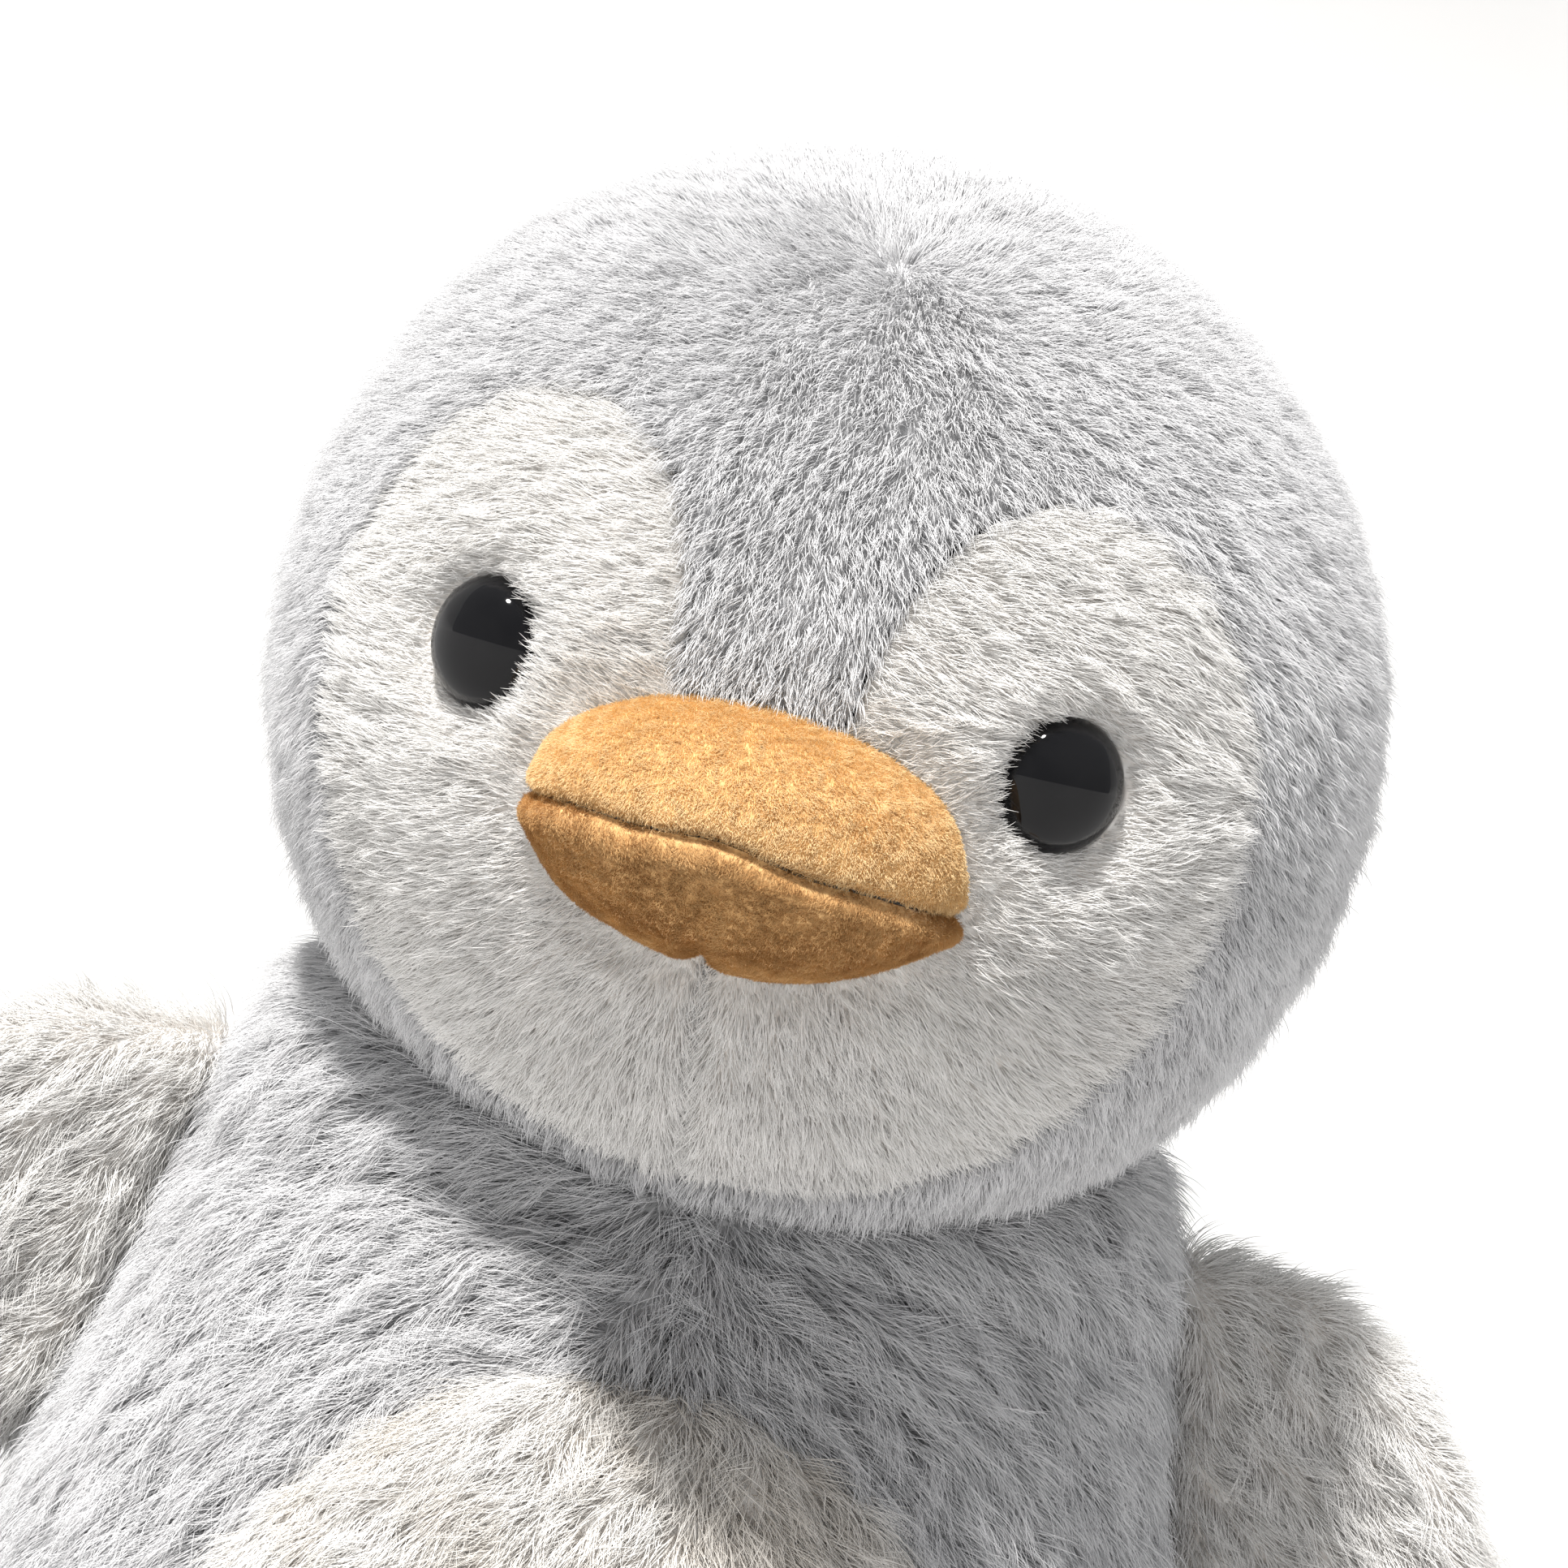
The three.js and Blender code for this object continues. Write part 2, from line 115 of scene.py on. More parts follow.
def add_camera():
    back = Vector((
        math.sin(CAMERA_AZIMUTH) * math.cos(CAMERA_ELEVATION),
        -math.cos(CAMERA_AZIMUTH) * math.cos(CAMERA_ELEVATION),
        math.sin(CAMERA_ELEVATION),
    ))
    right = Vector((math.cos(CAMERA_AZIMUTH), math.sin(CAMERA_AZIMUTH), 0))
    up = back.cross(right)
    place = Vector(HEAD) + back * CAMERA_DISTANCE - right * HEAD_RIGHT_OF_AIM - up * HEAD_ABOVE_AIM
    c, s = math.cos(CAMERA_ROLL), math.sin(CAMERA_ROLL)
    x_axis = c * right + s * up
    y_axis = c * up - s * right
    data = bpy.data.cameras.new("camera")
    data.lens = CAMERA_LENS
    data.sensor_width = 36
    data.clip_start = 0.01
    data.clip_end = 50
    camera = bpy.data.objects.new("camera", data)
    rotation = Matrix((x_axis, y_axis, back)).transposed().to_4x4()
    camera.matrix_world = Matrix.Translation(place) @ rotation
    bpy.context.scene.collection.objects.link(camera)
    bpy.context.scene.camera = camera


# ---- Noise and flow --------------------------------------------------------------------------
def value_noise(points, size, seed):
    """Smooth noise from -1 to 1 at points, with lumps of about that size."""
    p = points / size
    cell = np.floor(p).astype(np.int64)
    f = p - cell
    f = f * f * (3 - 2 * f)
    total = np.zeros(len(points))
    for corner in range(8):
        d = np.array([corner & 1, (corner >> 1) & 1, (corner >> 2) & 1])
        h = (cell + d) * np.array([73856093, 19349663, 83492791])
        h = h[:, 0] ^ h[:, 1] ^ h[:, 2] ^ seed * 2654435761
        h = (h ^ (h >> 13)) * 1274126177
        h = (h ^ (h >> 16)) & 0xFFFF
        total += np.where(d, f, 1 - f).prod(1) * (h / 32767.5 - 1)
    return total


def unit(v):
    return v / np.maximum(np.linalg.norm(v, axis=1, keepdims=True), 1e-9)


def smooth(value, low, high):
    t = np.clip((value - low) / (high - low), 0, 1)
    return t * t * (3 - 2 * t)


def along_surface(direction, normals):
    """The part of each direction that lies in the surface, one long."""
    return unit(direction - (direction * normals).sum(1, keepdims=True) * normals)


def streaks(points, flow, size, reach, seed):
    """Noise smeared along the flow, as the gaps between locks of fur are."""
    total = np.zeros(len(points))
    for step in np.linspace(-1, 1, 5):
        total += value_noise(points + flow * step * reach, size, seed)
    return total / 5 * 1.7


CROWN_WHORL = np.array([0.03, -0.60, 0.80])
BEAK_MIDDLE = np.array([0.0, -0.97, -0.24])


def hood_flow(points, normals):
    """Away from the whorl over the forehead, and down at the back and sides."""
    out = unit(to_head(points - HEAD))
    stray = [value_noise(points, 0.006, SEED + 15 + i) for i in range(3)]
    return along_surface(from_head(out - CROWN_WHORL + 0.13 * np.stack(stray, 1)), normals)


def face_flow(points, normals):
    """Away from the beak below, and outwards from the inner seam in the lobes over the eyes."""
    out = unit(to_head(points - HEAD))
    high = smooth(out[:, 2], -0.12, 0.15)[:, None]
    side = np.sign(out[:, 0])
    lobes = np.stack([side, 0 * side, -0.25 + 0 * side], 1)
    away = unit(out - BEAK_MIDDLE)
    return along_surface(from_head(away * (1 - high) + lobes * high), normals)


def chest_flow(points, normals):
    """Down, fanning out to both sides from the top of the front seam."""
    front = np.clip(-points[:, 1] / 0.03, 0, 1)
    x = points[:, 0]
    fan = np.sign(x) * smooth(np.abs(x), 0, 0.012) * np.exp(-np.abs(x) / 0.07)
    strength = 0.7 + 1.4 * smooth(points[:, 2], 0.105, 0.15)
    direction = np.stack([strength * fan * front, 0 * x, -np.ones(len(x))], 1)
    return along_surface(direction, normals)


def belly_flow(points, normals):
    """Down and outwards, in loose swirls."""
    swirl = value_noise(points, 0.022, SEED + 7) * 0.9
    direction = np.stack([points[:, 0] * 14 + swirl, 0 * swirl, -1 + 0.3 * swirl], 1)
    return along_surface(direction, normals)


def wing_flow(points, normals):
    """Outwards and down, from the shoulder to the wing's tip."""
    side = np.sign(points[:, 0])
    return along_surface(np.stack([side, 0 * side, -1.0 + 0 * side], 1), normals)


def tail_flow(points, normals):
    return along_surface(np.tile([0.0, 1.0, 0.25], (len(points), 1)), normals)


def base_flow(points, normals):
    return along_surface(np.tile([0.0, 1.0, 0.0], (len(points), 1)), normals)


def beak_flow(points, normals):
    """From the root of the beak to its front."""
    return along_surface(from_head(np.tile([0.0, -1.0, -0.35], (len(points), 1))), normals)


def foot_flow(points, normals):
    side = np.sign(points[:, 0])
    out = np.stack([side * math.sin(FOOT_TURN), -math.cos(FOOT_TURN) + 0 * side, 0 * side - 0.1], 1)
    return along_surface(out, normals)


def across_seam(points, axis, place):
    """A pull over the seam in the plane axis = place, so that the fur on both sides closes over it."""
    off = points @ axis - place
    return -np.outer(np.sign(off) * 0.9 * np.exp(-((off / (2.4 * MM)) ** 2)), axis)


SIDEWAYS = np.array([1.0, 0, 0])
BACKWARDS = np.array([0, 1.0, 0])


def hood_seams(points):
    local = to_head(points - HEAD)
    under_chin = (local[:, 2] < -6 * MM) & (local[:, 1] < 0)
    chin = across_seam(local, SIDEWAYS, 0)
    crown = across_seam(local, SIDEWAYS, GUSSET_HALF) + across_seam(local, SIDEWAYS, -GUSSET_HALF)
    return from_head(np.where(under_chin[:, None], chin, crown))


def face_seams(points):
    return from_head(across_seam(to_head(points - HEAD), SIDEWAYS, 0))


def torso_seams(points):
    return across_seam(points, SIDEWAYS, 0) + across_seam(points, BACKWARDS, SIDE_SEAM_Y)


def wing_seams(points):
    return across_seam(points, BACKWARDS, 0)


def no_seams(points):
    return 0 * points


# ---- Materials -------------------------------------------------------------------------------
STRAND_ROUGHNESS = 0.7
STRAND_SPECULAR = 0.18


def new_material(name, roughness, specular=0.5, sheen=0.0):
    material = bpy.data.materials.new(name)
    material.use_nodes = True
    shader = material.node_tree.nodes["Principled BSDF"]
    shader.inputs["Roughness"].default_value = roughness
    shader.inputs["Specular IOR Level"].default_value = specular
    shader.inputs["Sheen Weight"].default_value = sheen
    return material, material.node_tree, shader


def ramp_of(tree, factor, stops):
    """A colour that runs through the stops, each a place from 0 to 1 and a colour."""
    ramp = tree.nodes.new("ShaderNodeValToRGB")
    elements = ramp.color_ramp.elements
    for element, (place, colour) in zip(list(elements), (stops[0], stops[-1])):
        element.position = place
        element.color = (*colour, 1)
    for place, colour in stops[1:-1]:
        elements.new(place).color = (*colour, 1)
    tree.links.new(factor, ramp.inputs["Fac"])
    return ramp.outputs["Color"]


def noise_node(tree, scale, detail):
    coordinates = tree.nodes.new("ShaderNodeTexCoord")
    noise = tree.nodes.new("ShaderNodeTexNoise")
    noise.inputs["Scale"].default_value = scale
    noise.inputs["Detail"].default_value = detail
    tree.links.new(coordinates.outputs["Object"], noise.inputs["Vector"])
    return noise.outputs["Fac"]


def add_bump(tree, shader, height, strength, distance):
    bump = tree.nodes.new("ShaderNodeBump")
    bump.inputs["Strength"].default_value = strength
    bump.inputs["Distance"].default_value = distance
    tree.links.new(height, bump.inputs["Height"])
    tree.links.new(bump.outputs["Normal"], shader.inputs["Normal"])


def mottled_material(name, dark, light, scale, bump=0.0005, roughness=0.9, specular=0.2, sheen=0.3):
    """Two colours mottled by a fine noise that also raises the surface by about bump metres."""
    material, tree, shader = new_material(name, roughness, specular, sheen)
    noise = noise_node(tree, scale, 4)
    tree.links.new(ramp_of(tree, noise, [(0.35, dark), (0.65, light)]), shader.inputs["Base Color"])
    if bump:
        add_bump(tree, shader, noise, 0.5, bump)
    return material


def strand_material(name, root, body, tip, patch=(0.94, 0.94, 0.94), patch_scale=60):
    """One fibre: darker towards the root as painted shade where the fibres pack, lightest towards its
    tip, tinted in patches.
    """
    material, tree, shader = new_material(name, STRAND_ROUGHNESS, STRAND_SPECULAR)
    info = tree.nodes.new("ShaderNodeHairInfo")
    along = ramp_of(tree, info.outputs["Intercept"], [(0.0, root), (0.45, body), (1.0, tip)])
    mix = tree.nodes.new("ShaderNodeMix")
    mix.data_type = "RGBA"
    mix.blend_type = "MULTIPLY"
    mix.inputs["Factor"].default_value = 1.0
    shade = ramp_of(tree, noise_node(tree, patch_scale, 2), [(0.4, patch), (0.62, (1, 1, 1))])
    tree.links.new(along, mix.inputs["A"])
    tree.links.new(shade, mix.inputs["B"])
    tree.links.new(mix.outputs["Result"], shader.inputs["Base Color"])
    return material


def weave_material(name, dark, light, scale, roughness=0.85):
    """Plain cloth: two crossed sets of fine waves."""
    material, tree, shader = new_material(name, roughness, 0.2, sheen=0.2)
    coordinates = tree.nodes.new("ShaderNodeTexCoord")
    joined = tree.nodes.new("ShaderNodeMath")
    joined.operation = "MULTIPLY"
    for i, direction in enumerate(("X", "Z")):
        wave = tree.nodes.new("ShaderNodeTexWave")
        wave.bands_direction = direction
        wave.inputs["Scale"].default_value = scale
        wave.inputs["Distortion"].default_value = 0.4
        tree.links.new(coordinates.outputs["Object"], wave.inputs["Vector"])
        tree.links.new(wave.outputs["Fac"], joined.inputs[i])
    colour = ramp_of(tree, joined.outputs["Value"], [(0.0, dark), (0.7, light)])
    tree.links.new(colour, shader.inputs["Base Color"])
    add_bump(tree, shader, joined.outputs["Value"], 0.4, 0.0003)
    return material


# ---- Meshes ----------------------------------------------------------------------------------
def place_object(name, data):
    obj = bpy.data.objects.new(name, data)
    bpy.context.scene.collection.objects.link(obj)
    return obj


def corners_of(mesh):
    co = np.zeros(len(mesh.vertices) * 3, np.float32)
    mesh.vertices.foreach_get("co", co)
    return co.reshape(-1, 3).astype(float)


def normals_of(mesh):
    normals = np.zeros(len(mesh.vertices) * 3, np.float32)
    mesh.vertices.foreach_get("normal", normals)
    return normals.reshape(-1, 3).astype(float)


def remeshed(node, voxel, smoothing):
    """A new fine mesh over a CAD node's shape, with its edges softened."""
    draft = place_object(node + "_draft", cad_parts[node].data.copy())
    remesh = draft.modifiers.new("remesh", "REMESH")
    remesh.mode = "VOXEL"
    remesh.voxel_size = voxel
    soften = draft.modifiers.new("soften", "SMOOTH")
    soften.factor = 0.5
    soften.iterations = smoothing
    bpy.context.view_layer.update()
    graph = bpy.context.evaluated_depsgraph_get()
    mesh = bpy.data.meshes.new_from_object(draft.evaluated_get(graph))
    bpy.data.objects.remove(draft)
    mesh.materials.clear()
    return mesh


def finish_piece(name, mesh, co, material, node, body):
    """Gives the mesh its moved corners and hands it to the frame in place of a CAD node."""
    mesh.name = name
    mesh.vertices.foreach_set("co", co.astype(np.float32).ravel())
    mesh.polygons.foreach_set("use_smooth", np.ones(len(mesh.polygons), bool))
    mesh.materials.append(material)
    mesh.update()
    obj = place_object(name, mesh)
    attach(obj, body)
    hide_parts(node)
    return obj


_trees = {}


def away_from(node, points):
    """For each point, the direction to it from the nearest place on a stuffing."""
    if node not in _trees:
        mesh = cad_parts[node].data
        places = [v.co for v in mesh.vertices]
        _trees[node] = BVHTree.FromPolygons(places, [p.vertices for p in mesh.polygons])
    nearest = np.array([_trees[node].find_nearest(Vector(p))[0] for p in points])
    return unit(points - nearest)


# ---- Fur skins -------------------------------------------------------------------------------
class Fur:
    """How one kind of fur looks and lies; lengths are in metres."""

    def __init__(self, pile, strand, height, lay, density, relief, tuft, wildness, radius, lean):
        self.pile = pile  # material of the mesh under the strands
        self.strand = strand  # material of the strands
        self.height = height  # how far tips stand off the skin
        self.lay = lay  # how far tips lie along the flow
        self.density = density  # strands in a square millimetre
        self.relief = relief  # depth of the gaps between locks
        self.tuft = tuft  # width of a lock
        self.wildness = wildness  # spread of the strands' headings
        self.radius = radius  # of one strand at its root
        self.lean = lean  # how strongly tips gather into locks


def hollow(distance, width):
    """1 at distance 0, fading to 0 over about that width: the section of a groove or a ridge."""
    return np.exp(-((distance / width) ** 2))


BELLY_SWELL = 0.004
BELLY_CREASE = 0.0015
CHIN_FOLD = 0.0022
CHEST_LUMPS = 0.0015
HEAD_LUMPS = 0.0006
CHIN_SEAM_DIP = 0.0012
EYE_DIP = 0.0016
CHEEK_FULLNESS = 0.0008


def no_shape(co, away):
    return 0 * co


def belly_shape(co, away):
    """Swells the belly patch, so that its edge rolls over at the seam."""
    across = (co[:, [0, 2]] - BELLY_CENTRE) / BELLY_HALF
    from_edge = 1 - np.linalg.norm(across, axis=1)
    swell = BELLY_SWELL * np.sqrt(np.clip(from_edge / 0.16, 0, 1))
    crease = -BELLY_CREASE * hollow(from_edge, 0.03)
    return away * (swell + crease)[:, None]


def chest_shape(co, away):
    """A fold across the chest under the chin, and soft fullness between the seams."""
    front = np.clip(-co[:, 1] / 0.03, 0, 1)
    fold_height = 0.139 - 0.10 * np.abs(co[:, 0] - 0.004)
    fold = -CHIN_FOLD * hollow(co[:, 2] - fold_height, 0.0035)
    lumps = CHEST_LUMPS * value_noise(co, 0.03, SEED + 11)
    return away * (front * fold + lumps)[:, None]


def head_shape(co, away):
    """A little unevenness of the stuffing."""
    return away * (HEAD_LUMPS * value_noise(co, 0.028, SEED + 12))[:, None]


def face_shape(co, away):
    """A shallow dip at the chin seam and round each eye, with full cheeks."""
    local = to_head(co - HEAD)
    below = np.clip(-(local[:, 2] + 0.028) / 0.01, 0, 1)
    depth = -CHIN_SEAM_DIP * hollow(local[:, 0], 0.0022) * below
    for side in (-1, 1):
        axis = eye_axis(side)
        off = off_axis(local, axis)
        depth += -EYE_DIP * hollow(off - EYE_RADIUS, 0.0035) * (local @ axis > 0)
    cheeks = CHEEK_FULLNESS * value_noise(co, 0.024, SEED + 13)
    return away * (depth + cheeks)[:, None]


def build_skin(node, body, fur, stuffing, flow_of, shape_of, voxel):
    """The closed pile mesh that replaces one fur panel, with the relief of its locks."""
    mesh = remeshed(node, voxel * COARSER, 5)
    co = corners_of(mesh)
    normals = normals_of(mesh)
    away = away_from(stuffing, co)
    outer = np.clip(((normals * away).sum(1) - 0.1) / 0.5, 0, 1)
    flow = flow_of(co, away)
    locks = streaks(co, flow, fur.tuft, fur.tuft * 2.2, SEED)
    fine = streaks(co, flow, fur.tuft * 0.5, fur.tuft, SEED + 1)
    push = fur.relief * (0.7 * locks + 0.3 * fine - 0.1)
    co += outer[:, None] * (away * push[:, None] + shape_of(co, away))
    return finish_piece("fur_" + node, mesh, co, fur.pile, node, body)


def scattered_roots(mesh, stuffing, count_in_square_mm, rng):
    """Places spread evenly over the outside of a skin, and the way out at each."""
    mesh.calc_loop_triangles()
    tris = np.zeros(len(mesh.loop_triangles) * 3, np.int32)
    mesh.loop_triangles.foreach_get("vertices", tris)
    co = corners_of(mesh)
    a, b, c = (co[tris.reshape(-1, 3)[:, i]] for i in range(3))
    cross = np.cross(b - a, c - a)
    area = np.linalg.norm(cross, axis=1) / 2
    face_normals = unit(cross)
    away = away_from(stuffing, (a + b + c) / 3)
    area[(face_normals * away).sum(1) < 0.25] = 0
    count = int(area.sum() / MM**2 * count_in_square_mm)
    picked = rng.choice(len(area), count, p=area / area.sum())
    u, v = rng.random(count), rng.random(count)
    flip = u + v > 1
    u[flip], v[flip] = 1 - u[flip], 1 - v[flip]
    roots = a[picked] + (b - a)[picked] * u[:, None] + (c - a)[picked] * v[:, None]
    return roots, unit(away[picked] + 0.5 * face_normals[picked])


def slope(points, direction, step, size, seed):
    """How much the noise rises along each direction."""
    ahead = value_noise(points + direction * step, size, seed)
    return ahead - value_noise(points - direction * step, size, seed)


STRAND_POINTS = 6
STRAND_TAPER = np.array([1.0, 1.0, 0.9, 0.75, 0.5, 0.12])
ROOT_DEPTH = 0.8 * MM


def grow_strands(
    skin, node, body, fur, stuffing, flow_of, seams_of=no_seams, keep_out=None, trim_of=None
):
    """Single fibres rooted in the outside of a skin, as one hair object that rides with it."""
    rng = np.random.default_rng(SEED + sum(map(ord, node)))
    roots, normals = scattered_roots(skin.data, stuffing, fur.density * DENSITY, rng)
    if keep_out is not None:
        kept = ~keep_out(roots)
        roots, normals = roots[kept], normals[kept]
    count = len(roots)
    flow = along_surface(flow_of(roots, normals) + seams_of(roots), normals)
    sideways = np.cross(normals, flow)
    locks = streaks(roots, flow, fur.tuft, fur.tuft * 2.2, SEED)
    length = np.clip(1 + 0.2 * locks + 0.15 * rng.standard_normal(count), 0.45, 1.6)
    if trim_of is not None:
        length *= trim_of(roots)
    # Tips lean towards the middle of their lock: up the slope of a smooth noise.
    step = fur.tuft * 0.35
    across = slope(roots, sideways, step, fur.tuft, SEED + 2)
    ahead = slope(roots, flow, step, fur.tuft * 1.6, SEED + 2)
    drift = 0.25 * value_noise(roots, fur.tuft * 5, SEED + 3)
    turn = fur.wildness * rng.standard_normal(count) + fur.lean * across + drift
    heading = unit(flow * np.cos(turn)[:, None] + sideways * np.sin(turn)[:, None])
    lift = fur.height * length * np.clip(1 + 0.2 * rng.standard_normal(count) - 0.3 * ahead, 0.3, 1.8)
    reach = fur.lay * length * (1 + 0.15 * rng.standard_normal(count))
    t = np.linspace(0, 1, STRAND_POINTS)
    rise = 1 - (1 - t) ** 1.7
    travel = t**1.5
    out = lift[:, None] * rise + ROOT_DEPTH * (rise - 1)
    strand = roots[:, None, :] + normals[:, None, :] * out[:, :, None]
    strand += heading[:, None, :] * (reach[:, None] * travel)[:, :, None]
    curl = sideways * (0.08 * fur.lay * rng.standard_normal(count))[:, None]
    strand += curl[:, None, :] * np.sin(t * math.pi * 1.3)[None, :, None]
    hair = bpy.data.hair_curves.new("strands_" + node)
    hair.add_curves([STRAND_POINTS] * count)
    hair.attributes["position"].data.foreach_set("vector", strand.astype(np.float32).ravel())
    thickness = fur.radius * (0.8 + 0.4 * rng.random(count))
    radius = (thickness[:, None] * STRAND_TAPER).astype(np.float32)
    attribute = hair.attributes.get("radius") or hair.attributes.new("radius", "FLOAT", "POINT")
    attribute.data.foreach_set("value", radius.ravel())
    hair.materials.append(fur.strand)
    obj = place_object("strands_" + node, hair)
    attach(obj, body)
    return count


def under_eyes_or_beak(points):
    """True where a fibre can't be rooted: under an eye or under the beak."""
    local = to_head(points - HEAD)
    hidden = (((local - BEAK_CENTRE) / (BEAK_HALF - 1.1 * MM)) ** 2).sum(1) < 1
    for side in (-1, 1):
        axis = eye_axis(side)
        off = off_axis(local, axis)
        hidden |= (off < EYE_RADIUS - 0.3 * MM) & (local @ axis > 0)
    return hidden


def face_trim(points):
    """Fur is clipped shorter next to the eyes and the beak."""
    local = to_head(points - HEAD)
    beak = np.sqrt((((local - BEAK_CENTRE) / BEAK_HALF) ** 2).sum(1))
    length = 0.6 + 0.4 * smooth(beak, 1.0, 1.25)
    for side in (-1, 1):
        axis = eye_axis(side)
        off = off_axis(local, axis)
        length *= 0.62 + 0.38 * smooth(off, EYE_RADIUS, EYE_RADIUS + 5 * MM)
    return length


# ---- Fur colours and panels --------------------------------------------------------------------
# The root colours darken each strand's root and the pile under the strands: painted shade among the
# packed fibres.
GREY_ROOT_SHADE = (0.47, 0.47, 0.475)
GREY_MID = (0.74, 0.74, 0.75)
GREY_TIP = (0.91, 0.91, 0.92)
CREAM_ROOT_SHADE = (0.82, 0.77, 0.72)
CREAM_MID = (0.96, 0.945, 0.92)
CREAM_TIP = (0.985, 0.975, 0.96)
BROWN_PATCH = (0.90, 0.87, 0.83)
SKIN_VOXEL = 1.1 * MM


def build_fur():
    grey_pile = mottled_material("grey_pile", GREY_ROOT_SHADE, GREY_MID, 450)
    cream_pile = mottled_material("cream_pile", CREAM_ROOT_SHADE, CREAM_MID, 450)
    grey = strand_material("grey_strand", GREY_ROOT_SHADE, GREY_MID, GREY_TIP)
    cream = strand_material("cream_strand", CREAM_ROOT_SHADE, CREAM_MID, CREAM_TIP)
    belly_cream = strand_material("belly_strand", CREAM_ROOT_SHADE, CREAM_MID, CREAM_TIP, BROWN_PATCH, 55)
    hood = Fur(
        grey_pile, grey, height=0.0021, lay=0.0024, density=9.0, relief=0.0006, tuft=0.0015,
        wildness=0.12, radius=0.000052, lean=0.45,
    )
    face = Fur(
        cream_pile, cream, height=0.0019, lay=0.0025, density=9.0, relief=0.0004, tuft=0.0020,
        wildness=0.12, radius=0.000052, lean=0.4,
    )
    body = Fur(
        grey_pile, grey, height=0.0033, lay=0.0055, density=5.6, relief=0.0014, tuft=0.0032,
        wildness=0.14, radius=0.000060, lean=0.9,
    )
    belly = Fur(
        cream_pile, belly_cream, height=0.0032, lay=0.0050, density=5.6, relief=0.0010, tuft=0.0034,
        wildness=0.16, radius=0.000060, lean=0.8,
    )
    flipper = Fur(
        cream_pile, cream, height=0.0030, lay=0.0046, density=5.6, relief=0.0010, tuft=0.0034,
        wildness=0.14, radius=0.000060, lean=0.8,
    )
    under = Fur(
        grey_pile, grey, height=0.0004, lay=0.0026, density=2.0, relief=0.0003, tuft=0.0030,
        wildness=0.30, radius=0.000080, lean=0.8,
    )
    head = ("head", "head_stuffing")
    torso = ("torso", "torso_stuffing")
    panels = [
        ("head_gusset", head, hood, hood_flow, hood_seams, head_shape, under_eyes_or_beak, None),
        ("head_side_left", head, hood, hood_flow, hood_seams, head_shape, None, None),
        ("head_side_right", head, hood, hood_flow, hood_seams, head_shape, None, None),
        ("face_left", head, face, face_flow, face_seams, face_shape, under_eyes_or_beak, face_trim),
        ("face_right", head, face, face_flow, face_seams, face_shape, under_eyes_or_beak, face_trim),
        ("chest_left", torso, body, chest_flow, torso_seams, chest_shape, None, None),
        ("chest_right", torso, body, chest_flow, torso_seams, chest_shape, None, None),
        ("back_left", torso, body, chest_flow, torso_seams, chest_shape, None, None),
        ("back_right", torso, body, chest_flow, torso_seams, chest_shape, None, None),
        ("belly_patch", torso, belly, belly_flow, no_seams, belly_shape, None, None),
        ("base_panel", torso, under, base_flow, no_seams, no_shape, None, None),
        ("tail_top", ("torso", "tail_stuffing"), body, tail_flow, no_seams, no_shape, None, None),
        ("tail_bottom", ("torso", "tail_stuffing"), body, tail_flow, no_seams, no_shape, None, None),
    ]
    for side in ("left", "right"):
        wing = (f"wing_{side}", f"wing_{side}_stuffing")
        for cover in ("front", "back"):
            node = f"wing_{side}_{cover}"
            panels.append((node, wing, flipper, wing_flow, wing_seams, no_shape, None, None))
    strands = 0
    for node, (on, stuffing), fur, flow, seams, shape, keep_out, trim in panels:
        skin = build_skin(node, on, fur, stuffing, flow, shape, SKIN_VOXEL)
        strands += grow_strands(skin, node, on, fur, stuffing, flow, seams, keep_out, trim)
    print("strands", strands)


# ---- Beak ------------------------------------------------------------------------------------
MOUTH_CREASE = 0.0014
LOWER_LIP = 0.0007
CHIN_NOTCH = 0.0016


def mouth_line(x):
    """Height of the uneven mouth seam above its mean, across the beak."""
    share = x / BEAK_HALF[0]
    line = -0.0012 * share + 0.0009 * np.cos(math.pi * share)
    return line + 0.0003 * np.sin(9 * share + 1.0)


def beak_corners(co, upper):
    """Corners of a beak panel moved onto a smooth egg with a puckered mouth and a raised lip."""
    local = to_head(co - HEAD)
    q = (local - BEAK_CENTRE) / BEAK_HALF
    reach = np.linalg.norm(q, axis=1)
    outer = smooth(reach, 0.955, 0.985)
    from_seam = local[:, 2] - MOUTH_HEIGHT
    pucker = 1 + 0.45 * value_noise(np.stack([local[:, 0], 0 * reach, 0 * reach], 1), 0.0032, SEED + 5)
    crease = -MOUTH_CREASE * hollow(from_seam, 0.0009) * pucker
    lip = LOWER_LIP * hollow(from_seam + 0.0026, 0.0016) * (0 if upper else 1)
    soft = 0.00035 * value_noise(local, 0.009, SEED + 6)
    low = np.clip(-(q[:, 2] + 0.72) / 0.2, 0, 1)
    notch = -CHIN_NOTCH * hollow(local[:, 0], 0.0016) * low
    push = crease + lip + soft + notch
    smooth_egg = BEAK_CENTRE + q / reach[:, None] * (BEAK_HALF + push[:, None])
    local = local * (1 - outer[:, None]) + smooth_egg * outer[:, None]
    local[:, 2] += mouth_line(local[:, 0]) * hollow(from_seam, 0.006)
    return from_head(local) + HEAD


# The lower panel's colours, with GOLD_DARK at its roots, are darker than the upper panel's: painted
# shade on the underside of the beak, which the feet's nap reuses.
GOLD_DARK = (0.52, 0.29, 0.11)
GOLD_MID = (0.84, 0.54, 0.24)
UPPER_BODY = (0.95, 0.67, 0.35)
UPPER_TIP = (0.97, 0.74, 0.43)
UPPER_PATCH = (0.96, 0.95, 0.93)
LOWER_SHADED_BODY = (0.62, 0.36, 0.14)
LOWER_SHADED_TIP = (0.76, 0.50, 0.24)
LOWER_SHADED_PATCH = (0.74, 0.67, 0.60)
BEAK_VOXEL = 0.45 * MM


